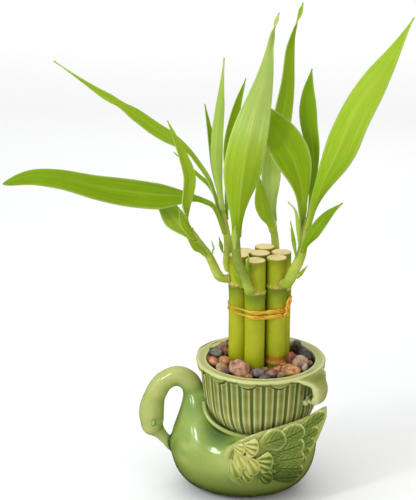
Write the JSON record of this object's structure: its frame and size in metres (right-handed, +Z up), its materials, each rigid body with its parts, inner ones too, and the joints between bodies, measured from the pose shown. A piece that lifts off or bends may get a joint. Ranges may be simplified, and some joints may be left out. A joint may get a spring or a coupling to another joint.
{
  "type": "potted lucky bamboo",
  "caption": "Lucky bamboo stalks with leafy shoots, tied in a bunch and standing in pebbles in a glazed swan planter.",
  "frame": {"origin": "centre of the pot's flat foot, on the surface that it stands on", "axes": "+Z up, -X towards the swan's head, -Y towards the picture's viewer"},
  "size_m": [0.2105, 0.0778, 0.2701],
  "materials": {
    "glaze": "gloss",
    "pebbles": "matte",
    "stalk": "satin",
    "shoot": "satin",
    "leaf": "satin",
    "gold": "polished"
  },
  "bodies": {
    "root": {"swan_planter": "glaze", "pebble_bed": "pebbles", "stalk_middle": "stalk", "stalk_front": "stalk", "stalk_right_front": "stalk", "stalk_right_back": "stalk", "stalk_back": "stalk", "stalk_left_back": "stalk", "stalk_left_front": "stalk", "gold_tie": "gold", "shoot_left_stem": "shoot", "shoot_left_leaf_1": "leaf", "shoot_left_leaf_2": "leaf", "shoot_left_leaf_3": "leaf", "shoot_left_leaf_4": "leaf", "shoot_left_leaf_5": "leaf", "shoot_left_back_stem": "shoot", "shoot_left_back_leaf_1": "leaf", "shoot_left_back_leaf_2": "leaf", "shoot_left_back_leaf_3": "leaf", "shoot_left_back_leaf_4": "leaf", "shoot_left_back_leaf_5": "leaf", "shoot_left_back_leaf_6": "leaf", "shoot_left_back_leaf_7": "leaf", "shoot_front_stem": "shoot", "shoot_front_leaf_1": "leaf", "shoot_front_leaf_2": "leaf", "shoot_front_leaf_3": "leaf", "shoot_front_leaf_4": "leaf", "shoot_back_stem": "shoot", "shoot_back_leaf_1": "leaf", "shoot_back_leaf_2": "leaf", "shoot_right_stem": "shoot", "shoot_right_leaf_1": "leaf", "shoot_right_leaf_2": "leaf", "shoot_right_leaf_3": "leaf", "shoot_right_leaf_4": "leaf", "shoot_right_leaf_5": "leaf", "shoot_right_leaf_6": "leaf", "shoot_right_leaf_7": "leaf"}
  },
  "joints": []
}
